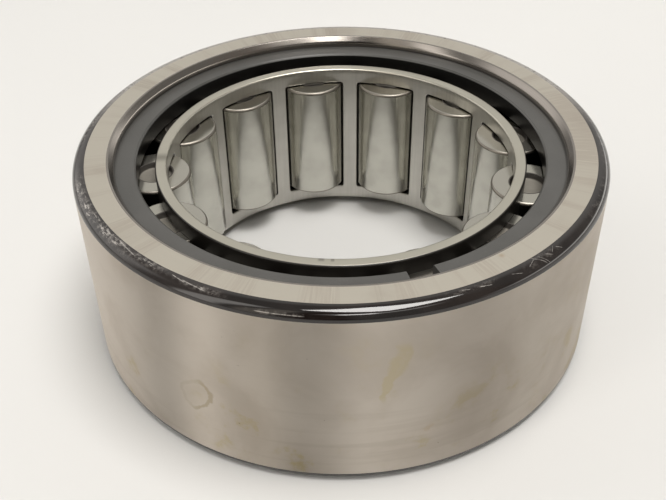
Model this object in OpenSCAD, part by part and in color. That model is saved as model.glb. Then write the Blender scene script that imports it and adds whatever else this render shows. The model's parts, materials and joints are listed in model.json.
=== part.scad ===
// Cylindrical roller bearing without an inner ring. A thick outer ring carries the
// raceway. Its rollers sit in a window cage and run straight on the shaft. A split
// retaining ring in a groove at each side stops the rollers from sliding out.
// Millimetres. The origin is the centre of the bearing, and +Z is its axis, pointing
// out of the upper side face. +X and +Y lie in the middle plane.

/* [Outer ring] */
// Outside diameter, which seats in the housing
outer_d = 80; // [79:0.5:90]
// Width from side face to side face
ring_w = 31; // [31:0.5:36]
// Diameter of the raceway that the rollers run on
raceway_d = 68.2; // [68:0.1:68.4]
// Rounded outer corner, measured along the side face
corner_across = 1.9; // [1:0.1:2.4]
// Rounded outer corner, measured along the axis
corner_along = 1.5; // [1:0.1:2.4]
// Diameter where the ground side face ends and the lead-in cone begins
face_inner_d = 69.3; // [69:0.1:71]
// Diameter of the short land between the lead-in cone and the groove
land_d = 67.8; // [66.5:0.1:68]
// Depth of the lead-in cone below the side face
lead_in = 0.9; // [0.5:0.05:1.1]

/* [Retaining rings] */
// Depth of each retaining ring below its side face
ring_inset = 1.65; // [1.4:0.05:1.7]
// Thickness of a retaining ring along the axis
ring_t = 3.2; // [2:0.05:3.2]
// Inner diameter of a retaining ring
ring_bore_d = 61.7; // [60:0.1:64]
// Outer diameter of a retaining ring in its groove
ring_outer_d = 71; // [69:0.1:71]
// Angle left open at the split
split_angle = 7; // [3:0.5:12]
// Direction of the upper ring's split, counted from +X
upper_split = -71; // [-180:1:180]
// Direction of the lower ring's split, counted from +X
lower_split = 62; // [-180:1:180]

/* [Rollers] */
// Roller diameter
roller_d = 11; // [10.6:0.05:11.1]
// Roller length
roller_l = 21; // [20:0.05:21.1]
// Rounded corner at a roller's ends
roller_corner = 0.45; // [0.45:0.05:0.8]
// Diameter of the shallow recess in a roller's end
recess_d = 5.4; // [3:0.1:7]
// Depth of that recess
recess_depth = 0.9; // [0.3:0.1:2]
// Direction of the first roller, counted from +X
first_roller = 100; // [-180:1:180]

/* [Cage] */
// Outer diameter of the cage
cage_d = 56.3; // [55.5:0.1:57]
// Bore of the cage
cage_bore_d = 52.8; // [51.5:0.1:53.5]
// Length of the cage along the axis
cage_l = 27.2; // [25:0.1:28]
// Length of a roller pocket along the axis
pocket_l = 21.8; // [21.4:0.05:22.5]
// Rounded corner of a pocket
pocket_corner = 0.5; // [0.2:0.05:0.5]

/* [Running clearances] */
// Gap between a roller and the raceway
race_gap = 0.02; // [0.01:0.005:0.04]
// Gap between a roller and the side of its pocket
pocket_gap = 0.06; // [0.03:0.01:0.1]
// Gap that the resting pieces keep along the axis
rest_gap = 0.03; // [0.02:0.01:0.05]
// Gap between a retaining ring and its groove
groove_gap = 0.1; // [0.05:0.01:0.12]

/* [Hidden] */
roller_count = 13;
edge = 0.3;        // small bevel on the retaining rings, the cage and the recess
corner_steps = 8;  // straight steps in a rounded corner of the ring or a roller
pocket_steps = 3;  // straight steps in a rounded corner of a pocket
round_fn = 180;    // facets of a preview circle

outer_r = outer_d / 2;
raceway_r = raceway_d / 2;
roller_r = roller_d / 2;
roller_pitch = 360 / roller_count;
pitch_r = raceway_r - race_gap - roller_r;
groove_r = ring_outer_d / 2 + groove_gap;
face_z = ring_w / 2;
groove_top = face_z - ring_inset;
groove_bottom = groove_top - ring_t - groove_gap;
ring_mid = (groove_top + groove_bottom) / 2;
// The bearing lies on its lower side, so its rollers stand on the lower retaining
// ring, and the cage hangs from the upper ends of the rollers.
roller_z = ring_t / 2 - ring_mid + rest_gap + roller_l / 2;
cage_z = roller_z + roller_l / 2 + rest_gap - pocket_l / 2;

function two_digits(n) = n < 10 ? str("0", n) : str(n);
function roller_name(n) = str("roller_", two_digits(n));

// Quarter of an ellipse that rounds the corner at radius r and height z.
function round_corner(r, z, across, along, steps) = [
    for (i = [0 : steps])
        let (a = 90 - 90 * i / steps)
        [r - across + across * cos(a), z - along + along * sin(a)]
];

// An upper half profile followed by its mirror image below the middle plane.
function both_halves(upper) = concat(
    upper,
    [for (i = [len(upper) - 1 : -1 : 0]) [upper[i].x, -upper[i].y]]
);

function outer_ring_profile() = both_halves(concat(
    [
        [raceway_r, groove_bottom],
        [groove_r, groove_bottom],
        [groove_r, groove_top],
        [land_d / 2, groove_top],
        [land_d / 2, face_z - lead_in],
        [face_inner_d / 2, face_z]
    ],
    round_corner(outer_r, face_z, corner_across, corner_along, corner_steps)
));

// Rectangle from radius r0 to r1, centred on height 0, with bevelled corners.
function bevelled_section(r0, r1, height) = both_halves([
    [r0, height / 2 - edge],
    [r0 + edge, height / 2],
    [r1 - edge, height / 2],
    [r1, height / 2 - edge]
]);

function roller_profile() = both_halves(concat(
    [
        [0, roller_l / 2 - recess_depth],
        [recess_d / 2 - edge, roller_l / 2 - recess_depth],
        [recess_d / 2, roller_l / 2]
    ],
    round_corner(roller_r, roller_l / 2, roller_corner, roller_corner, corner_steps)
));

function pocket_profile() = let (r = roller_r + pocket_gap) both_halves(concat(
    [[0, pocket_l / 2]],
    round_corner(r, pocket_l / 2, pocket_corner, pocket_corner, pocket_steps)
));

module outer_ring() {
    color("lightslategray")
        rotate_extrude($fn = round_fn)
            polygon(outer_ring_profile());
}

// One split ring with radial ends, drawn at the height of the upper groove.
module split_ring(split) {
    translate([0, 0, ring_mid])
        rotate([0, 0, split + split_angle / 2])
            rotate_extrude(angle = 360 - split_angle, $fn = round_fn)
                polygon(bevelled_section(ring_bore_d / 2, ring_outer_d / 2, ring_t));
}

module upper_retaining_ring() {
    color("dimgray")
        split_ring(upper_split);
}

module lower_retaining_ring() {
    color("dimgray")
        mirror([0, 0, 1])
            split_ring(lower_split);
}

module roller_at(n) {
    rotate([0, 0, first_roller + (n - 1) * roller_pitch])
        translate([pitch_r, 0, roller_z])
            children();
}

module cage() {
    color("silver")
        difference() {
            translate([0, 0, cage_z])
                rotate_extrude($fn = round_fn)
                    polygon(bevelled_section(cage_bore_d / 2, cage_d / 2, cage_l));
            for (n = [1 : roller_count])
                roller_at(n)
                    translate([0, 0, cage_z - roller_z])
                        rotate_extrude($fn = round_fn)
                            polygon(pocket_profile());
        }
}

module roller(n) {
    color("gainsboro")
        roller_at(n)
            rotate_extrude($fn = round_fn)
                polygon(roller_profile());
}

outer_ring();
upper_retaining_ring();
lower_retaining_ring();
cage();
for (n = [1 : roller_count])
    roller(n);
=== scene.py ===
import json
import math

import bmesh
import bpy
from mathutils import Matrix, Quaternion, Vector


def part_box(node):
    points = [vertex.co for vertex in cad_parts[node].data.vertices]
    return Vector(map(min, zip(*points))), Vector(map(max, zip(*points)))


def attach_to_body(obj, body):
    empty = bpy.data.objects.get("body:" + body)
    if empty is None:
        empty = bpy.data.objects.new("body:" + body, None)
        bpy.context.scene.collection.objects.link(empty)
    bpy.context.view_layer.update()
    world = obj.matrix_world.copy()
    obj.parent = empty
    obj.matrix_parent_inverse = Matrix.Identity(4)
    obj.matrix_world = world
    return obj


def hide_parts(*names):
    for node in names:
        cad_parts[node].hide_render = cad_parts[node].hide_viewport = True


# Looks of a cylindrical roller bearing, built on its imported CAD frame. Metres, in the
# frame of the CAD: the origin is the bearing's centre and +Z is its axis.

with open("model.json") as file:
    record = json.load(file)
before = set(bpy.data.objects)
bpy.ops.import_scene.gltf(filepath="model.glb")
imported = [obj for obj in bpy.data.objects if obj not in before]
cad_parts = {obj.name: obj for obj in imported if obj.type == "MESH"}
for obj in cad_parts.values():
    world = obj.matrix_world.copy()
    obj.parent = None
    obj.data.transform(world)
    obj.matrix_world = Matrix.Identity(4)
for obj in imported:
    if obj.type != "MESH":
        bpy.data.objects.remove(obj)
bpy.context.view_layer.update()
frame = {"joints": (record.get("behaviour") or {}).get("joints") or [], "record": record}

MM = 0.001

# ---------------------------------------------------------------- sizes from the frame

mounts = {m["name"]: m for m in frame["record"]["mounts"]}
roller_joints = {j["child"]: j for j in frame["joints"] if j["child"].startswith("roller")}

OUTER_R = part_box("outer_ring")[1].x
FACE_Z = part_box("outer_ring")[1].z
PITCH_R = Vector(next(iter(roller_joints.values()))["pos_m"]).length
ROLLER_R = PITCH_R - mounts["shaft_raceway"]["dims"]["r_mm"] * MM
ROLLER_COUNT = len(roller_joints)
SEAT_HALF = mounts["housing_seat"]["dims"]["length_mm"] * MM / 2

# Sizes that a box or a mount doesn't give.
RACE_GAP = 0.02 * MM           # between a roller and the raceway
RACEWAY_R = PITCH_R + ROLLER_R + RACE_GAP
CORNER_ACROSS = 1.9 * MM       # rounded outer corner, along the side face
CORNER_ALONG = FACE_Z - SEAT_HALF
FACE_INNER_R = 34.65 * MM      # inner edge of the ground side face
LAND_R = 33.9 * MM             # land between the lead-in cone and the groove
LEAD_IN = 0.9 * MM
GROOVE_GAP = 0.1 * MM
RING_BORE_R = 30.85 * MM       # the two retaining rings
RING_BEVEL = 0.3 * MM
RING_EDGE = 0.1 * MM           # softens the sharp edges at the split
SPLIT_ANGLE = 7.0              # degrees left open at a split
UPPER_SPLIT = -71.0            # directions of the two splits, counted from +X
LOWER_SPLIT = 62.0
CAGE_WALL = 1.75 * MM
RIM_ROUND = 0.32 * MM          # rounded edges of the cage's two rims
WINDOW_FLARE = 0.28 * MM       # bevel round each window at the cage's bore
WINDOW_EDGE = 0.08 * MM        # softens the edges of that bevel
POCKET_GAP = 0.06 * MM
POCKET_L = 21.8 * MM
POCKET_CORNER = 0.5 * MM
ROLLER_CORNER = 0.45 * MM
RECESS_R = 2.7 * MM
RECESS_DEPTH = 0.9 * MM

TURN_STEPS = 360               # facets round the big rings
WALL_ROWS = 24                 # mesh rows up the seat and up the raceway
ROLLER_STEPS = 96
CREASE = math.radians(38)      # a sharper bend than this is an edge
WELD = 1e-7                    # vertices closer than this are one


def spread(first, last, steps):
    """Evenly spaced numbers from first to last, with both of them."""
    return [first + (last - first) * i / steps for i in range(steps + 1)]


def heights(node):
    """Height of the middle of a node's box, and half its height."""
    low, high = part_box(node)
    return (low.z + high.z) / 2, (high.z - low.z) / 2


# ---------------------------------------------------------------------- mesh builders

def fillet(corners, steps=3):
    """Open outline from (radius, height, fillet) corners, each fillet as an arc."""
    points = []
    last = len(corners) - 1
    for i, (r, z, size) in enumerate(corners):
        here = Vector((r, z))
        if size == 0 or i in (0, last):
            points.append((r, z))
            continue
        to_before = (Vector(corners[i - 1][:2]) - here).normalized()
        to_after = (Vector(corners[i + 1][:2]) - here).normalized()
        half = to_before.angle(to_after) / 2
        centre = here + (to_before + to_after).normalized() * size / math.sin(half)
        first = here + to_before * size / math.tan(half) - centre
        turned = here + to_after * size / math.tan(half) - centre
        swing = first.angle_signed(turned)
        for k in range(steps + 1):
            c, s = math.cos(-swing * k / steps), math.sin(-swing * k / steps)
            p = centre + Vector((first.x * c - first.y * s, first.x * s + first.y * c))
            points.append((p.x, p.y))
    return points


def lathe(bm, outline, steps, start=0.0, turn=math.tau, zone=0):
    """Sweeps an open outline of (radius, height) points round Z."""
    closed = turn > math.tau - WELD
    columns = []
    poles = {i: bm.verts.new((0, 0, z)) for i, (r, z) in enumerate(outline) if r < WELD}
    for c in range(steps if closed else steps + 1):
        a = start + turn * c / steps
        columns.append([
            poles.get(i) or bm.verts.new((r * math.cos(a), r * math.sin(a), z))
            for i, (r, z) in enumerate(outline)
        ])
    if closed:
        columns.append(columns[0])
    for left, right in zip(columns, columns[1:]):
        for i in range(len(outline) - 1):
            ring = [left[i], right[i], right[i + 1], left[i + 1]]
            corners = [v for k, v in enumerate(ring) if v not in ring[:k]]
            bm.faces.new(corners).material_index = zone
    return columns


def mirrored(outline):
    """The outline below the middle plane that matches one above it."""
    return [(r, -z) for r, z in reversed(outline)]


def finish_mesh(bm, name, materials):
    """Turns a bmesh into a smooth-shaded object with creases where it bends sharply."""
    bmesh.ops.remove_doubles(bm, verts=bm.verts, dist=WELD)
    bmesh.ops.recalc_face_normals(bm, faces=bm.faces)
    mesh = bpy.data.meshes.new(name)
    bm.to_mesh(mesh)
    bm.free()
    for material in materials:
        mesh.materials.append(material)
    mesh.shade_smooth()
    mesh.set_sharp_from_angle(angle=CREASE)
    piece = bpy.data.objects.new(name, mesh)
    bpy.context.scene.collection.objects.link(piece)
    return piece


def soften(piece, width):
    """A small bevel on the sharp edges, so that they catch the light."""
    bevel = piece.modifiers.new("edge_bevel", "BEVEL")
    bevel.width = width
    bevel.segments = 2
    bevel.limit_method = "ANGLE"
    bevel.angle_limit = CREASE
    bevel.harden_normals = True


def weigh_normals(piece):
    """Keeps the flat faces flat beside their small fillets."""
    weighted = piece.modifiers.new("flat_faces", "WEIGHTED_NORMAL")
    weighted.keep_sharp = True


def attach(piece, node, body):
    """Makes a piece stand for a CAD node and move with a body."""
    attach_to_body(piece, body)
    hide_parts(node)


# -------------------------------------------------------------------- material helpers

class Nodes:
    """Short calls for the nodes that the materials and the sky here are made of."""

    def __init__(self, tree):
        self.tree = tree

    def node(self, kind, **inputs):
        """Makes a node and fills its sockets, named with _ for a space."""
        made = self.tree.nodes.new(kind)
        for key, value in inputs.items():
            self.put(made.inputs[key.replace("_", " ")], value)
        return made

    def put(self, socket, value):
        """Links a node's output to this socket, or sets the socket to a plain value."""
        if isinstance(value, bpy.types.NodeSocket):
            self.tree.links.new(value, socket)
        else:
            socket.default_value = value

    def math(self, operation, a, b=0.0, c=0.0):
        made = self.tree.nodes.new("ShaderNodeMath")
        made.operation = operation
        for socket, value in zip(made.inputs, (a, b, c)):
            self.put(socket, value)
        return made.outputs[0]

    def product(self, *values):
        result = values[0]
        for value in values[1:]:
            result = self.math("MULTIPLY", result, value)
        return result

    def largest(self, values):
        result = values[0]
        for value in values[1:]:
            result = self.math("MAXIMUM", result, value)
        return result

    def vector(self, x, y, z):
        return self.node("ShaderNodeCombineXYZ", X=x, Y=y, Z=z).outputs[0]

    def noise(self, at, scale, detail=3.0, roughness=0.55, distortion=0.0):
        made = self.node("ShaderNodeTexNoise", Vector=at, Scale=scale, Detail=detail,
                         Roughness=roughness, Distortion=distortion)
        return made.outputs["Fac"]

    def span(self, value, low, high, to_low=0.0, to_high=1.0):
        """Maps low..high to to_low..to_high, smoothly and clamped."""
        made = self.tree.nodes.new("ShaderNodeMapRange")
        made.interpolation_type = "SMOOTHSTEP"
        self.put(made.inputs["Value"], value)
        for key, number in (("From Min", low), ("From Max", high),
                            ("To Min", to_low), ("To Max", to_high)):
            made.inputs[key].default_value = number
        return made.outputs[0]

    def mix(self, factor, a, b):
        made = self.tree.nodes.new("ShaderNodeMix")
        made.data_type = "RGBA"
        self.put(made.inputs[0], factor)
        self.put(made.inputs[6], a)
        self.put(made.inputs[7], b)
        return made.outputs[2]


class Shader(Nodes):
    """A node material that knows a point's place, its angle, radius and height."""

    def __init__(self, name):
        self.material = bpy.data.materials.new(name)
        self.material.use_nodes = True
        super().__init__(self.material.node_tree)
        self.bsdf = self.tree.nodes["Principled BSDF"]
        self.place = self.node("ShaderNodeTexCoord").outputs["Object"]
        parts = self.node("ShaderNodeSeparateXYZ", Vector=self.place)
        self.x, self.y, self.z = parts.outputs
        self.angle = self.math("ARCTAN2", self.y, self.x)
        square = self.math("ADD", self.math("MULTIPLY", self.x, self.x),
                           self.math("MULTIPLY", self.y, self.y))
        self.radius = self.math("SQRT", square)

    def bump(self, height, distance):
        """A normal for relief that is this deep where height goes from 0 to 1."""
        return self.node("ShaderNodeBump", Height=height, Distance=distance).outputs[0]

    def around(self, along_turn, along_radius, along_axis):
        """Coordinates that stretch a pattern round the axis, outwards or along it."""
        return self.vector(self.math("MULTIPLY", self.angle, along_turn),
                           self.math("MULTIPLY", self.radius, along_radius),
                           self.math("MULTIPLY", self.z, along_axis))

    def near_angle(self, degrees, reach, soft=0.5):
        """1 within reach degrees of a direction, fading to 0 over the outer part."""
        off = self.math("SUBTRACT", self.angle, math.radians(degrees))
        turn = self.math("ABSOLUTE", self.math("WRAP", off, math.pi, -math.pi))
        edge = math.radians(reach)
        return self.span(turn, edge * (1 - soft), edge, 1.0, 0.0)

    def near(self, value, middle, reach, soft=0.5):
        """1 where value is near the middle, fading to 0 over the outer part."""
        off = self.math("ABSOLUTE", self.math("SUBTRACT", value, middle))
        return self.span(off, reach * (1 - soft), reach, 1.0, 0.0)

    def scratch(self, degrees, half_length, half_width, radius, slant):
        """1 on a short straight line at the corner, 0 away from it."""
        off = self.math("SUBTRACT", self.angle, math.radians(degrees))
        along = self.math("MULTIPLY", off, radius * MM)
        out = self.math("SUBTRACT", self.radius, radius * MM)
        across = self.math("SUBTRACT", out, self.math("MULTIPLY", along, slant))
        return self.product(self.near(across, 0.0, half_width * MM, 0.7),
                            self.near(along, 0.0, half_length * MM, 0.3))

    def finish(self, **inputs):
        """Sets the shader's sockets, named with _ for a space."""
        for key, value in inputs.items():
            self.put(self.bsdf.inputs[key.replace("_", " ")], value)
        return self.material


def rgb(r, g, b):
    return (r, g, b, 1.0)


STEEL = rgb(0.53, 0.482, 0.425)
STEEL_LIGHT = rgb(0.6, 0.56, 0.485)
STEEL_DULL = rgb(0.45, 0.4, 0.345)
STAIN = rgb(0.45, 0.38, 0.22)
DRIED_OIL = rgb(0.33, 0.275, 0.18)
RUST = rgb(0.4, 0.26, 0.13)
PIT = rgb(0.16, 0.13, 0.1)
OXIDE = rgb(0.008, 0.006, 0.0055)
OXIDE_BROWN = rgb(0.018, 0.0135, 0.012)
OXIDE_SCUFFED = rgb(0.26, 0.24, 0.222)
OXIDE_BARE = rgb(0.46, 0.435, 0.41)
LEAD_IN_DARK = rgb(0.23, 0.21, 0.19)
LEAD_IN_LIGHT = rgb(0.35, 0.325, 0.3)
# Painted shade for the retaining groove.
GROOVE_SHADE_DARK = rgb(0.03, 0.027, 0.025)
GROOVE_SHADE_LIGHT = rgb(0.06, 0.055, 0.05)
# Painted shade for the raceway.
RACEWAY_SHADE_DARK = rgb(0.07, 0.063, 0.058)
RACEWAY_SHADE_LIGHT = rgb(0.1, 0.09, 0.083)
PHOSPHATE_DARK = rgb(0.062, 0.061, 0.057)
PHOSPHATE_LIGHT = rgb(0.076, 0.074, 0.07)
PHOSPHATE_GRAIN = rgb(0.11, 0.107, 0.1)
# Painted shade for the retaining rings' inner wall.
RING_WALL_SHADE = rgb(0.006, 0.0055, 0.005)
CAGE_LIGHT = rgb(0.56, 0.545, 0.505)
CAGE_DULL = rgb(0.47, 0.455, 0.42)
CAGE_GRAIN = rgb(0.37, 0.357, 0.333)
RIM_LIGHT = rgb(0.58, 0.555, 0.48)
RIM_DULL = rgb(0.46, 0.44, 0.375)
# Painted shade for the dents in the cage's upper rim.
RIM_DENT_SHADE = rgb(0.13, 0.12, 0.105)
# Painted shade for the cage's window walls and outside.
CAGE_SHADE_BLACK = rgb(0.016, 0.014, 0.012)
ROLLER_LIGHT = rgb(0.57, 0.56, 0.51)
ROLLER_DULL = rgb(0.5, 0.49, 0.445)
# Painted shade for the rollers' rounded corners.
ROLLER_CORNER_SHADE = rgb(0.25, 0.23, 0.2)
# Painted shade for the rollers' end faces.
ROLLER_END_SHADE = rgb(0.45, 0.435, 0.385)
RECESS_DARK = rgb(0.22, 0.205, 0.175)
RECESS_LIGHT = rgb(0.29, 0.27, 0.235)
# Painted shade for the wall of a roller's end recess.
RECESS_WALL_SHADE = rgb(0.075, 0.068, 0.06)
TABLE_DULL = rgb(0.68, 0.68, 0.672)
TABLE_LIGHT = rgb(0.71, 0.71, 0.702)

DRIP_HEIGHT = 4.9 * MM         # middle of the drip
DRIP_REACH = 5.6 * MM          # from the middle to where it has faded out
DRIP_LOW = 0.5 * MM            # heights that it leans between
DRIP_HIGH = 9.5 * MM
DRIP_LOW_ANGLE = -82.3         # its directions at those heights, in degrees
DRIP_HIGH_ANGLE = -78.8


def drip_stain(s):
    """A thin yellow drip down the seat, broken and a little crooked."""
    wander = s.noise(s.place, 400.0)
    along = s.span(s.z, DRIP_LOW, DRIP_HIGH, DRIP_LOW_ANGLE, DRIP_HIGH_ANGLE)
    off = s.math("SUBTRACT", s.math("MULTIPLY", s.angle, math.degrees(1)), along)
    off = s.math("ADD", off, s.span(wander, 0.2, 0.8, -0.8, 0.8))
    width = s.span(s.z, 0, 8 * MM, 0.7, 2.0)
    line = s.span(s.math("DIVIDE", s.math("ABSOLUTE", off), width), 0.5, 1.2, 1.0, 0.0)
    return s.product(line, s.near(s.z, DRIP_HEIGHT, DRIP_REACH, 0.3),
                     s.span(wander, 0.25, 0.5, 0.5, 1.0))


LOOP_ANGLE = math.radians(-119.6)
LOOP_HEIGHT = -3.3 * MM
LOOP_HALF_WIDTH = 2.3 * MM
LOOP_HALF_HEIGHT = 2.7 * MM
LOOP_LEAN = 0.11 / MM          # half widths that it leans for each metre up


def loop_stain(s):
    """The outline that one dried drop left on the seat."""
    wander = s.span(s.noise(s.place, 330.0), 0.2, 0.8, -0.2, 0.2)
    off_angle = s.math("SUBTRACT", s.angle, LOOP_ANGLE)
    off_height = s.math("SUBTRACT", s.z, LOOP_HEIGHT)
    across = s.math("SUBTRACT", s.math("MULTIPLY", off_angle, OUTER_R / LOOP_HALF_WIDTH),
                    s.math("MULTIPLY", off_height, LOOP_LEAN))
    along = s.math("MULTIPLY", off_height, 1 / LOOP_HALF_HEIGHT)
    square = s.math("ADD", s.product(across, across), s.product(along, along))
    from_middle = s.math("ADD", s.math("SQRT", square), wander)
    outline = s.near(from_middle, 1.0, 0.19, 0.7)
    line = s.math("MULTIPLY", outline, s.span(across, -0.4, 0.5, 0.35, 1.0))
    return s.math("MAXIMUM", line, s.span(from_middle, 0.7, 1.05, 0.2, 0.0))


def ground_seat():
    """Outside cylinder: fine grinding lines round the ring, handling marks, dry stains."""
    s = Shader("ground_seat")
    lines = s.noise(s.around(2.0, 0.0, 21000.0), 1.0, detail=4.0)
    bands = s.noise(s.around(1.2, 0.0, 650.0), 1.0, detail=3.0)
    clouds = s.noise(s.place, 75.0, detail=4.0, distortion=0.4)
    blots = s.noise(s.place, 230.0, detail=5.0, roughness=0.62)
    specks = s.noise(s.place, 1500.0, detail=1.0)
    low_down = s.span(s.z, 6 * MM, -12 * MM, 0.15, 1.0)
    colour = s.mix(s.span(clouds, 0.38, 0.68, 0.0, 0.75), STEEL, STEEL_DULL)
    colour = s.mix(s.product(s.span(bands, 0.5, 0.68, 0.0, 0.65), low_down), colour, STEEL_DULL)
    stained = s.product(s.span(blots, 0.52, 0.68), s.span(clouds, 0.45, 0.6), low_down)
    colour = s.mix(s.math("MULTIPLY", stained, 0.75), colour, STAIN)
    rusty = s.product(s.span(blots, 0.66, 0.74), s.span(s.z, -4 * MM, -10 * MM))
    colour = s.mix(s.math("MULTIPLY", rusty, 0.55), colour, RUST)
    colour = s.mix(s.math("MULTIPLY", drip_stain(s), 0.5), colour, STAIN)
    colour = s.mix(s.math("MULTIPLY", loop_stain(s), 0.6), colour, DRIED_OIL)
    pits = s.span(specks, 0.8, 0.86)
    colour = s.mix(s.math("MULTIPLY", pits, 0.7), colour, PIT)
    roughness = s.math("ADD", s.span(clouds, 0.3, 0.7, 0.42, 0.46),
                       s.math("MULTIPLY", stained, 0.06))
    return s.finish(Base_Color=colour, Metallic=1.0, Roughness=roughness,
                    Anisotropic=1.0, Tangent=s.vector(0, 0, 1),
                    Normal=s.bump(s.math("SUBTRACT", lines, s.math("MULTIPLY", pits, 3.0)),
                                  0.0015 * MM))


def ground_face():
    """Side face: lines across it from the grinding wheel, in fainter and stronger runs."""
    s = Shader("ground_face")
    runs = s.noise(s.around(7.0, 0.0, 0.0), 1.0, detail=2.0)
    fine = s.noise(s.around(230.0, 90.0, 0.0), 1.0, detail=3.0)
    coarse = s.noise(s.around(120.0, 160.0, 0.0), 1.0, detail=1.0)
    marked = s.math("MAXIMUM", s.span(runs, 0.42, 0.64, 0.15, 0.9),
                    s.near_angle(4, 24, 0.5))
    lines = s.math("ADD", s.math("MULTIPLY", fine, 0.4), s.product(coarse, marked))
    clouds = s.noise(s.place, 90.0, detail=4.0)
    colour = s.mix(s.span(lines, 0.3, 0.75, 0.0, 0.55), STEEL_LIGHT, STEEL_DULL)
    colour = s.mix(s.span(clouds, 0.52, 0.75, 0.0, 0.45), colour, STEEL_DULL)
    spot = s.product(s.near_angle(-55, 1.0, 1.0), s.near(s.radius, 35.5 * MM, 0.6 * MM, 1.0))
    colour = s.mix(s.product(spot, s.span(fine, 0.2, 0.6, 0.1, 0.5)), colour, RUST)
    roughness = s.span(lines, 0.3, 0.8, 0.36, 0.46)
    return s.finish(Base_Color=colour, Metallic=1.0, Roughness=roughness,
                    Normal=s.bump(lines, 0.005 * MM))


# Places where handling has worn the black oxide of the corner: angle and reach in
# degrees, radius and reach in millimetres, and how far it is worn.
WORN_PLACES = (
    (-156, 16, 39.0, 1.1, 0.95),
    (-142, 14, 38.8, 1.1, 1.0),
    (-130, 8, 38.6, 0.8, 0.9),
    (-117, 7, 38.9, 0.55, 1.0),
    (-101, 7, 39.7, 0.25, 0.8),
    (-66, 8, 38.7, 0.5, 0.5),
    (-49, 7, 38.9, 0.9, 0.4),
    (-24, 12, 39.2, 0.9, 0.35),
    (4, 24, 39.4, 1.0, 0.8),
    (40, 14, 39.0, 1.0, 0.6),
    (118, 20, 38.8, 0.9, 0.6),
    (172, 20, 39.3, 1.2, 0.9),
)

# Single scratches in the oxide: the angle of the middle in degrees, half the length and
# half the width in millimetres, the radius of the middle in millimetres, and the slant.
CORNER_SCRATCHES = (
    (-50.0, 0.9, 0.05, 38.9, 0.9),
    (-48.9, 0.6, 0.05, 39.1, 1.2),
    (-51.9, 0.7, 0.04, 38.8, -0.45),
    (-47.2, 0.5, 0.06, 39.0, 0.6),
    (-45.6, 0.5, 0.05, 38.7, -0.7),
    (-44.1, 0.4, 0.05, 39.0, 0.8),
    (-56.0, 0.8, 0.04, 39.1, 0.3),
    (-63.0, 0.9, 0.04, 39.0, 0.15),
    (-67.0, 0.6, 0.04, 38.7, 0.2),
    (-101.0, 3.4, 0.05, 39.75, 0.0),
    (-118.0, 2.0, 0.08, 38.9, 0.1),
    (-121.5, 1.2, 0.07, 38.75, 0.15),
    (-136.0, 2.2, 0.07, 38.6, 0.1),
)


def oxide_corner():
    """Rounded corner: glossy black oxide, scuffed and scratched through in places."""
    s = Shader("oxide_corner")
    scuffs = s.noise(s.around(26.0, 2400.0, 2400.0), 1.0, detail=6.0, roughness=0.8)
    grain = s.noise(s.place, 1300.0, detail=4.0, roughness=0.7)
    patches = s.noise(s.place, 160.0, detail=3.0)
    places = [s.product(s.near_angle(angle, reach, 0.8),
                        s.near(s.radius, r * MM, r_reach * MM, 0.8), worn)
              for angle, reach, r, r_reach, worn in WORN_PLACES]
    # Bare-looking steel along the outer edge of the back half of the corner.
    back_edge = s.product(s.near_angle(90, 88, 0.35),
                          s.span(s.radius, 38.9 * MM, 39.3 * MM, 1.0, 0.0))
    handled = s.largest(places)
    threshold = s.math("MULTIPLY_ADD", handled, -0.22, 0.72)
    worn = s.span(s.math("SUBTRACT", scuffs, threshold), 0.0, 0.12)
    lighter_back_edge = s.math("MULTIPLY", back_edge, s.span(grain, 0.2, 0.6, 0.5, 1.0))
    worn = s.math("MAXIMUM", worn, lighter_back_edge)
    dull = s.math("MULTIPLY", handled, s.span(grain, 0.45, 0.7, 0.0, 0.6))
    scratches = s.largest([s.scratch(*line) for line in CORNER_SCRATCHES])
    worn = s.math("MAXIMUM", worn, s.math("MULTIPLY", scratches, s.span(grain, 0.3, 0.55)))
    tint = s.mix(s.span(patches, 0.3, 0.7), OXIDE, OXIDE_BROWN)
    colour = s.mix(dull, tint, OXIDE_SCUFFED)
    colour = s.mix(worn, colour, OXIDE_BARE)
    roughness = s.math("ADD", s.span(patches, 0.3, 0.7, 0.045, 0.07),
                       s.math("MULTIPLY", s.math("MAXIMUM", worn, dull), 0.3))
    return s.finish(Base_Color=colour, Metallic=s.math("MULTIPLY", worn, 0.7),
                    Roughness=roughness, IOR=1.62,
                    Normal=s.bump(s.math("ADD", scuffs, grain), 0.0015 * MM))


def lead_in_steel():
    """Lead-in cone and land: turned smooth and darkened a little."""
    s = Shader("lead_in_steel")
    lines = s.noise(s.around(4.0, 9000.0, 9000.0), 1.0)
    colour = s.mix(lines, LEAD_IN_DARK, LEAD_IN_LIGHT)
    return s.finish(Base_Color=colour, Metallic=1.0, Roughness=0.2,
                    Normal=s.bump(lines, 0.002 * MM))


def groove_steel():
    """Retaining groove: turned steel that the grinding never reached, painted near black as
    painted shade under the ring.
    """
    s = Shader("groove_steel")
    lines = s.noise(s.around(4.0, 5000.0, 5000.0), 1.0)
    # Painted shade: near black for the shade in the groove under the retaining ring.
    colour = s.mix(lines, GROOVE_SHADE_DARK, GROOVE_SHADE_LIGHT)
    return s.finish(Base_Color=colour, Metallic=0.3, Roughness=0.45)


def raceway_steel():
    """Raceway: honed, painted near black as painted shade, with the faintest lines round it."""
    s = Shader("raceway_steel")
    lines = s.noise(s.around(3.0, 0.0, 14000.0), 1.0)
    # Painted shade: near black steel for the shade between the rollers and the ring.
    return s.finish(Base_Color=s.mix(lines, RACEWAY_SHADE_DARK, RACEWAY_SHADE_LIGHT),
                    Metallic=1.0, Roughness=s.span(lines, 0.3, 0.7, 0.14, 0.22))


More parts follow.
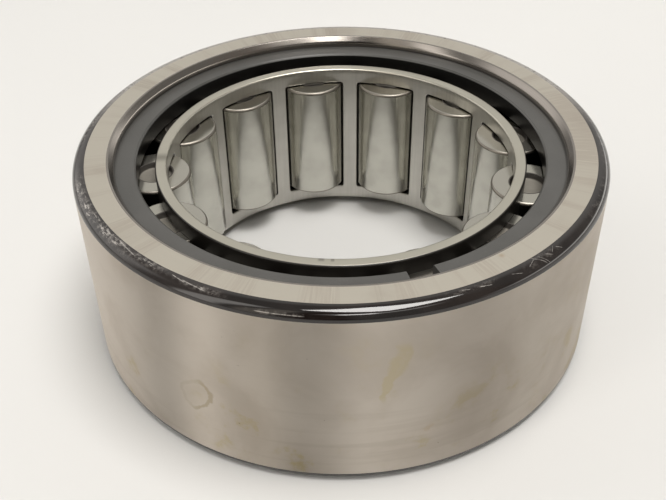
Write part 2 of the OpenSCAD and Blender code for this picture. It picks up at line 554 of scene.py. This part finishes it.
def phosphated_steel():
    """Retaining ring: satin dark grey phosphate, with its inner wall painted black as painted
    shade.
    """
    s = Shader("phosphated_steel")
    grain = s.noise(s.place, 3500.0, detail=2.0)
    clouds = s.noise(s.place, 120.0)
    colour = s.mix(s.span(clouds, 0.3, 0.7), PHOSPHATE_DARK, PHOSPHATE_LIGHT)
    colour = s.mix(s.span(grain, 0.6, 0.75, 0.0, 0.35), colour, PHOSPHATE_GRAIN)
    # Painted shade: the inner wall is painted black for the shade between the ring and the cage.
    wall = s.span(s.radius, RING_BORE_R + 0.02 * MM, RING_BORE_R + 0.07 * MM, 1.0, 0.0)
    colour = s.mix(wall, colour, RING_WALL_SHADE)
    return s.finish(Base_Color=colour, Metallic=0.0,
                    Roughness=s.span(grain, 0.3, 0.7, 0.3, 0.38),
                    Normal=s.bump(grain, 0.003 * MM))


def cage_steel():
    """Cage: satin bore and rims, with the window walls and the outside painted black as painted
    shade.
    """
    s = Shader("cage_steel")
    middle, half_height = heights("cage")
    outer_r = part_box("cage")[1].x
    bore_r = outer_r - CAGE_WALL
    off_middle = s.math("ABSOLUTE", s.math("SUBTRACT", s.z, middle))
    lines = s.noise(s.around(6.0, 4000.0, 9000.0), 1.0, detail=4.0)
    grain = s.noise(s.around(60.0, 0.0, 60.0), 1.0, detail=4.0, roughness=0.65)
    clouds = s.noise(s.place, 140.0)
    colour = s.mix(s.span(clouds, 0.3, 0.75), CAGE_LIGHT, CAGE_DULL)
    colour = s.mix(s.span(grain, 0.35, 0.7, 0.0, 0.3), colour, CAGE_GRAIN)
    rim = s.span(off_middle, half_height - 0.3 * MM, half_height - 0.1 * MM)
    colour = s.mix(rim, colour, s.mix(clouds, RIM_LIGHT, RIM_DULL))
    upper_rim = s.product(rim, s.span(s.z, 0.0, 1 * MM))
    # Painted shade: dark marks stand for the shade in a nick and a dot on the upper rim and in a
    # kink at its left.
    nick_shade = s.math("MAXIMUM", s.near_angle(-95.6, 1.3, 0.7), s.near_angle(-92.4, 0.7, 0.6))
    nick_shade = s.product(nick_shade, upper_rim, s.near(s.radius, bore_r, 1 * MM))
    kink_shade = s.product(upper_rim, s.near_angle(-176.5, 3.5, 1.0))
    marks = s.math("MULTIPLY", s.math("MAXIMUM", nick_shade, kink_shade), 0.55)
    colour = s.mix(marks, colour, RIM_DENT_SHADE)
    # Painted shade: the window walls and the outside are painted black, so that the rollers' sides
    # and the gap behind the cage look dark.
    between_rims = s.span(off_middle, POCKET_L / 2 + 0.1 * MM, POCKET_L / 2 + 0.2 * MM, 1.0, 0.0)
    in_window = s.product(s.span(s.radius, bore_r + 0.02 * MM, bore_r + 0.12 * MM), between_rims)
    outside = s.span(s.radius, outer_r - 0.26 * MM, outer_r - 0.16 * MM)
    dark = s.math("MAXIMUM", in_window, outside)
    colour = s.mix(dark, colour, CAGE_SHADE_BLACK)
    return s.finish(Base_Color=colour, Metallic=s.span(dark, 0.0, 1.0, 1.0, 0.0),
                    Roughness=s.span(lines, 0.3, 0.7, 0.28, 0.36),
                    Normal=s.bump(s.math("ADD", lines, grain), 0.003 * MM))


def roller_steel():
    """Roller: lapped bright round its side, rougher on the tumbled corners, with painted shade
    darkening the corners and the end faces.
    """
    s = Shader("roller_steel")
    half = heights("roller_01")[1]
    from_middle = s.math("ABSOLUTE", s.z)
    lines = s.noise(s.around(2.0, 0.0, 9000.0), 1.0)
    clouds = s.noise(s.place, 260.0)
    colour = s.mix(s.span(clouds, 0.35, 0.7), ROLLER_LIGHT, ROLLER_DULL)
    # Painted shade: the rounded corners are darker, and they are rougher too.
    corner = s.near(from_middle, half - ROLLER_CORNER / 2, ROLLER_CORNER / 2, 0.3)
    colour = s.mix(corner, colour, ROLLER_CORNER_SHADE)
    # Painted shade: the end faces are darker, for the shade under the cage's window edge.
    shaded_end_face = s.span(from_middle, half - 0.03 * MM, half - 0.01 * MM)
    colour = s.mix(shaded_end_face, colour, ROLLER_END_SHADE)
    roughness = s.math("ADD", s.span(lines, 0.3, 0.7, 0.16, 0.24), s.math("MULTIPLY", corner, 0.2))
    return s.finish(Base_Color=colour, Metallic=1.0, Roughness=roughness,
                    Normal=s.bump(lines, 0.001 * MM))


def recess_steel():
    """Floor of a roller's end recess: forged and unground, brownish grey, with painted shade
    darkening its wall.
    """
    s = Shader("recess_steel")
    clouds = s.noise(s.place, 900.0, detail=4.0)
    colour = s.mix(clouds, RECESS_DARK, RECESS_LIGHT)
    # Painted shade: the recess's wall is darker for the shade inside the recess.
    wall = s.near(s.radius, RECESS_R, 0.25 * MM, 0.3)
    colour = s.mix(wall, colour, RECESS_WALL_SHADE)
    return s.finish(Base_Color=colour, Metallic=0.35, Roughness=0.6,
                    Normal=s.bump(clouds, 0.01 * MM))


# -------------------------------------------------------------------------- the pieces

def corner_arc(steps=12):
    """Quarter ellipse that rounds the ring's outer corner, from the face to the seat."""
    quarter = [math.pi / 2 * (1 - i / steps) for i in range(steps + 1)]
    return [(OUTER_R - CORNER_ACROSS * (1 - math.cos(a)),
             FACE_Z - CORNER_ALONG * (1 - math.sin(a))) for a in quarter]


def outer_ring():
    """The outer ring, with a finish for each of its six kinds of surface."""
    seat_zone, face_zone, corner_zone, lead_in_zone, groove_zone, race_zone = range(6)
    ring_low, ring_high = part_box("upper_retaining_ring")
    groove_r = ring_high.x + GROOVE_GAP
    groove_top = ring_high.z + GROOVE_GAP / 2
    groove_bottom = ring_low.z - GROOVE_GAP / 2
    race_end = groove_bottom - 0.2 * MM
    shelf_r = groove_r - 1 * MM            # the groove's finish stops here, under the land
    race_fillet, groove_fillet = 0.1 * MM, 0.15 * MM
    edge_fillet, lead_in_fillet = 0.12 * MM, 0.8 * MM
    groove = fillet([
        (RACEWAY_R, race_end, 0),
        (RACEWAY_R, groove_bottom, race_fillet),
        (groove_r, groove_bottom, groove_fillet),
        (groove_r, groove_top, groove_fillet),
        (shelf_r, groove_top, 0),
    ])
    lead_in = fillet([
        (shelf_r, groove_top, 0),
        (LAND_R, groove_top, edge_fillet),
        (LAND_R, FACE_Z - LEAD_IN, lead_in_fillet),
        (FACE_INNER_R, FACE_Z, edge_fillet),
        (FACE_INNER_R + 0.3 * MM, FACE_Z, 0),
    ])
    face = [lead_in[-1], (OUTER_R - CORNER_ACROSS, FACE_Z)]
    corner = corner_arc()
    race = [(RACEWAY_R, z) for z in spread(-race_end, race_end, WALL_ROWS)]
    seat = [(OUTER_R, z) for z in spread(SEAT_HALF, -SEAT_HALF, WALL_ROWS)]
    finishes = [ground_seat(), ground_face(), oxide_corner(), lead_in_steel(),
                groove_steel(), raceway_steel()]
    bm = bmesh.new()
    lathe(bm, seat, TURN_STEPS, zone=seat_zone)
    lathe(bm, race, TURN_STEPS, zone=race_zone)
    for zone, outline in ((face_zone, face), (corner_zone, corner),
                          (lead_in_zone, lead_in), (groove_zone, groove)):
        lathe(bm, outline, TURN_STEPS, zone=zone)
        lathe(bm, mirrored(outline), TURN_STEPS, zone=zone)
    piece = finish_mesh(bm, "outer_ring_finished", finishes)
    weigh_normals(piece)
    attach(piece, "outer_ring", "outer")


def retaining_ring(node, split, finish):
    """A bevelled ring, open at its split."""
    middle, half = heights(node)
    outer_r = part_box(node)[1].x
    edge_fillet = 0.08 * MM
    outline = fillet([
        (RING_BORE_R, 0, 0),
        (RING_BORE_R, half - RING_BEVEL, edge_fillet),
        (RING_BORE_R + RING_BEVEL, half, edge_fillet),
        (outer_r - RING_BEVEL, half, edge_fillet),
        (outer_r, half - RING_BEVEL, edge_fillet),
        (outer_r, 0, 0),
    ])
    whole = [(r, z + middle) for r, z in outline + mirrored(outline)[1:-1]]
    whole.append(whole[0])
    start = math.radians(split + SPLIT_ANGLE / 2)
    turn = math.radians(360 - SPLIT_ANGLE)
    bm = bmesh.new()
    columns = lathe(bm, whole, TURN_STEPS, start, turn)
    for end in (columns[0], columns[-1]):
        bm.faces.new(end[:-1])
    piece = finish_mesh(bm, node + "_finished", [finish])
    soften(piece, RING_EDGE)
    attach(piece, node, "outer")


def pocket_half_angle(radius, height):
    """Half the angle of a pocket at a radius and a height from the pocket's middle."""
    pocket_r = ROLLER_R + POCKET_GAP
    into_corner = max(0.0, abs(height) - (POCKET_L / 2 - POCKET_CORNER))
    into_corner = min(into_corner, POCKET_CORNER)
    pocket_r -= POCKET_CORNER - math.sqrt(POCKET_CORNER ** 2 - into_corner ** 2)
    cosine = (radius ** 2 + PITCH_R ** 2 - pocket_r ** 2) / (2 * radius * PITCH_R)
    return math.acos(cosine)


def cage_rows(half_height):
    """Heights of the cage's mesh rows, closest together in the pockets' corners."""
    end = POCKET_L / 2
    bend = [math.sin(math.pi / 2 * i / 4) for i in range(5)]
    upper = spread(0, end - POCKET_CORNER, 8)[:-1]
    upper += [end - POCKET_CORNER * (1 - share) for share in bend]
    upper += spread(end, half_height - RIM_ROUND, 3)[1:]
    upper += [half_height - RIM_ROUND * (1 - share) for share in bend[1:]]
    return [-z for z in reversed(upper[1:])] + upper


def cage_columns():
    """Mesh columns of (kind, share): across the window from -1 to 1, or out over half a bar."""
    over_bar = spread(0, 1, 3)
    return ([("left", 1 - share) for share in over_bar[:-1]]
            + [("window", share) for share in spread(-1, 1, 20)]
            + [("right", share) for share in over_bar[1:]])


class CageSector:
    """One window of the cage, with half a bar at each side of it."""

    def __init__(self, bm, joint):
        at = Vector(joint["pos_m"])
        self.bm = bm
        self.centre = math.atan2(at.y, at.x)
        self.middle, self.half_height = heights("cage")
        self.outer_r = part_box("cage")[1].x
        self.bore_r = self.outer_r - CAGE_WALL
        self.rows = cage_rows(self.half_height)
        self.columns = cage_columns()

    def flare(self, radius):
        """How much wider the window is at this radius, by its bevel at the bore."""
        return max(0.0, WINDOW_FLARE - (radius - self.bore_r))

    def flared_height(self, radius, height):
        """Pushes a row away from the window's middle by the bevel at this radius."""
        end = POCKET_L / 2
        beyond = max(0.0, abs(height) - end) / (self.half_height - end)
        share = 1 - beyond if abs(height) > end else abs(height) / end
        return height + math.copysign(self.flare(radius) * share, height)

    def angle_at(self, column, radius, height):
        """A column's angle from the window's middle."""
        kind, share = column
        edge = pocket_half_angle(radius, height) + self.flare(radius) / radius
        if kind == "window":
            return share * edge
        over_bar = edge + (math.pi / ROLLER_COUNT - edge) * share
        return over_bar if kind == "right" else -over_bar

    def point(self, column, radius, height):
        a = self.centre + self.angle_at(column, radius, height)
        z = self.middle + self.flared_height(radius, height)
        return self.bm.verts.new((radius * math.cos(a), radius * math.sin(a), z))

    def rim_inset(self, height):
        """How far the rounded rim draws the skin into the wall at this height."""
        into = max(0.0, abs(height) - (self.half_height - RIM_ROUND))
        return RIM_ROUND - math.sqrt(max(0.0, RIM_ROUND ** 2 - into ** 2))

    def skin(self, radius, inwards):
        """The bore or the outside, with the window left open."""
        rows, columns = self.rows, self.columns
        grid = [[self.point(c, radius + inwards * self.rim_inset(z), z) for c in columns]
                for z in rows]
        for i in range(len(rows) - 1):
            in_window_row = abs(rows[i] + rows[i + 1]) / 2 < POCKET_L / 2
            for j in range(len(columns) - 1):
                in_window = columns[j][0] == "window" and columns[j + 1][0] == "window"
                if not (in_window and in_window_row):
                    self.bm.faces.new((grid[i][j], grid[i][j + 1],
                                       grid[i + 1][j + 1], grid[i + 1][j]))

    def wall(self, line, radii):
        """Faces that join the bore to the outside along a line of (column, height)."""
        grid = [[self.point(c, r, z) for c, z in line] for r in radii]
        for inner, outer in zip(grid, grid[1:]):
            for j in range(len(line) - 1):
                self.bm.faces.new((inner[j], inner[j + 1], outer[j + 1], outer[j]))

    def build(self):
        self.skin(self.bore_r, 1)
        self.skin(self.outer_r, -1)
        end = POCKET_L / 2
        window_radii = [self.bore_r] + spread(self.bore_r + WINDOW_FLARE, self.outer_r, 4)
        rim_radii = spread(self.bore_r + RIM_ROUND, self.outer_r - RIM_ROUND, 2)
        window_rows = [z for z in self.rows if abs(z) <= end + WELD]
        window_columns = [c for c in self.columns if c[0] == "window"]
        for side in (-1.0, 1.0):
            self.wall([(("window", side), z) for z in window_rows], window_radii)
            self.wall([(c, side * end) for c in window_columns], window_radii)
            self.wall([(c, side * self.half_height) for c in self.columns], rim_radii)


def cage():
    """The cage, welded from one sector for each roller."""
    bm = bmesh.new()
    for joint in roller_joints.values():
        CageSector(bm, joint).build()
    bmesh.ops.remove_doubles(bm, verts=bm.verts, dist=10 * WELD)
    piece = finish_mesh(bm, "cage_finished", [cage_steel()])
    soften(piece, WINDOW_EDGE)
    attach(piece, "cage", "cage")


def rollers():
    """The rollers, each with a recess in both ends that has a finish of its own."""
    finishes = [roller_steel(), recess_steel()]
    shell_zone, recess_zone = range(2)
    zone_r = RECESS_R + 0.2 * MM           # the recess's finish stops here, on the end face
    floor_r = RECESS_R - 0.25 * MM         # the recess's wall slopes in to here
    floor_fillet, rim_fillet = 0.2 * MM, 0.06 * MM
    for name, joint in roller_joints.items():
        middle, half = heights(name)
        recess = fillet([
            (0, half - RECESS_DEPTH, 0),
            (floor_r, half - RECESS_DEPTH, floor_fillet),
            (RECESS_R, half, rim_fillet),
            (zone_r, half, 0),
        ])
        shell = fillet([
            (zone_r, half, 0),
            (ROLLER_R, half, ROLLER_CORNER),
            (ROLLER_R, 0, 0),
        ], steps=6)
        bm = bmesh.new()
        for zone, outline in ((recess_zone, recess), (shell_zone, shell)):
            lathe(bm, outline, ROLLER_STEPS, zone=zone)
            lathe(bm, mirrored(outline), ROLLER_STEPS, zone=zone)
        piece = finish_mesh(bm, name + "_finished", finishes)
        weigh_normals(piece)
        at = Vector(joint["pos_m"])
        piece.location = (at.x, at.y, middle)
        attach(piece, name, name)


# --------------------------------------------------------------- camera, light, ground

CAMERA_EYE = Vector((0, -122.638, 90.239)) * MM
CAMERA_AIM = Vector((-1.353, 0, -6.289)) * MM
CAMERA_ROLL = math.radians(-0.833)
CAMERA_LENS = 50.909           # millimetres
CAMERA_SENSOR = 36             # width in millimetres
CAMERA_NEAR = 1 * MM           # nothing nearer than this is shown


def camera():
    data = bpy.data.cameras.new("camera")
    data.lens = CAMERA_LENS
    data.sensor_width = CAMERA_SENSOR
    data.clip_start = CAMERA_NEAR
    made = bpy.data.objects.new("camera", data)
    made.location = CAMERA_EYE
    made.rotation_mode = "QUATERNION"
    level = (CAMERA_AIM - CAMERA_EYE).to_track_quat("-Z", "Y")
    made.rotation_quaternion = level @ Quaternion((0, 0, 1), CAMERA_ROLL)
    bpy.context.scene.collection.objects.link(made)
    bpy.context.scene.camera = made


def outwards(azimuth, elevation):
    """Unit vector. Azimuth 0 is over the camera's side, and counts to the right."""
    a, e = math.radians(azimuth), math.radians(elevation)
    return Vector((math.sin(a) * math.cos(e), -math.cos(a) * math.cos(e), math.sin(e)))


LAMP_AZIMUTH = 58              # degrees
LAMP_ELEVATION = 80
LAMP_DISTANCE = 1.0            # metres
LAMP_SIZE = 0.45
LAMP_POWER = 7.6               # watts
LAMP_COLOUR = (1, 0.975, 0.94)


def overhead_lamp():
    """A soft rectangular lamp that faces the bearing."""
    out = outwards(LAMP_AZIMUTH, LAMP_ELEVATION)
    data = bpy.data.lights.new("overhead", "AREA")
    data.shape = "RECTANGLE"
    data.size = LAMP_SIZE
    data.size_y = LAMP_SIZE
    data.energy = LAMP_POWER
    data.color = LAMP_COLOUR
    made = bpy.data.objects.new("overhead", data)
    made.location = out * LAMP_DISTANCE
    made.rotation_mode = "QUATERNION"
    made.rotation_quaternion = out.to_track_quat("Z", "Y")
    bpy.context.scene.collection.objects.link(made)


ROOM_CORE = 0.45               # share of a half width that has the full colour
ALL_ROUND = 420                # a half width whose core passes 180 degrees
REST_OF_ROOM = rgb(0.5, 0.485, 0.455)
ROOM_STRENGTH = 0.6            # of all the room's colours

# What the steel mirrors: azimuth and half its width, lowest and highest elevation and
# the softness of those two borders, all in degrees, and the colour.
ROOM = (
    (184, 64, 12, 60, 15, rgb(1.3, 1.27, 1.21)),     # pale wall behind
    (-112, 36, 0, 42, 15, rgb(2.3, 2.22, 2.12)),     # wall on the left
    (-9, 17, -20, 70, 10, rgb(0.02, 0.01, 0.004)),   # dark room behind the camera
    (56, 25, -10, 60, 15, rgb(0.45, 0.4, 0.36)),     # dark furniture
    (-56, 12, -5, 66, 10, rgb(3.7, 3.55, 3.35)),     # window
    (-33, 10, -5, 66, 10, rgb(1.5, 1.38, 1.2)),      # curtain beside the window
    (104, 56, -5, 11, 8, rgb(4.9, 4.75, 4.5)),       # wall on the right
    (20, 38, 51, 57, 3, rgb(4.0, 3.9, 3.7)),         # lamps over the camera
    (8, 13, 51, 57, 3, rgb(18, 17.5, 16.8)),         # the nearest of the lamps
    (0, ALL_ROUND, -4, 3, 2, rgb(0.72, 0.71, 0.69)), # far edge of the table
)


def room_light():
    """A pale room round the table, with soft borders between its parts."""
    world = bpy.data.worlds.new("room")
    bpy.context.scene.world = world
    world.use_nodes = True
    n = Nodes(world.node_tree)
    direction = n.node("ShaderNodeTexCoord").outputs["Generated"]
    x, y, z = n.node("ShaderNodeSeparateXYZ", Vector=direction).outputs
    azimuth = n.math("ARCTAN2", x, n.math("MULTIPLY", y, -1.0))
    elevation = n.math("ARCSINE", z)
    colour = REST_OF_ROOM
    for turn, reach, low, high, soft, tone in ROOM:
        off = n.math("SUBTRACT", azimuth, math.radians(turn))
        off = n.math("ABSOLUTE", n.math("WRAP", off, math.pi, -math.pi))
        beside = n.span(off, math.radians(reach * ROOM_CORE), math.radians(reach), 1.0, 0.0)
        above = n.span(elevation, math.radians(low - soft / 2), math.radians(low + soft / 2))
        below = n.span(elevation, math.radians(high - soft / 2), math.radians(high + soft / 2),
                       1.0, 0.0)
        colour = n.mix(n.product(beside, above, below), colour, tone)
    n.put(n.tree.nodes["Background"].inputs["Color"], colour)
    n.put(n.tree.nodes["Background"].inputs["Strength"], ROOM_STRENGTH)


TABLE_R = 40.0                 # wide enough for its edge to lie on the horizon


def ground():
    """A plain pale table that the bearing lies on."""
    s = Shader("pale_table")
    clouds = s.noise(s.place, 9.0)
    s.finish(Base_Color=s.mix(clouds, TABLE_DULL, TABLE_LIGHT), Roughness=0.65)
    bm = bmesh.new()
    bmesh.ops.create_circle(bm, cap_ends=True, radius=TABLE_R, segments=96)
    floor = finish_mesh(bm, "table", [s.material])
    floor.location.z = -FACE_Z


def main():
    bpy.context.scene.view_settings.view_transform = "Standard"
    outer_ring()
    phosphate = phosphated_steel()
    retaining_ring("upper_retaining_ring", UPPER_SPLIT, phosphate)
    retaining_ring("lower_retaining_ring", LOWER_SPLIT, phosphate)
    cage()
    rollers()
    ground()
    room_light()
    overhead_lamp()
    camera()


main()
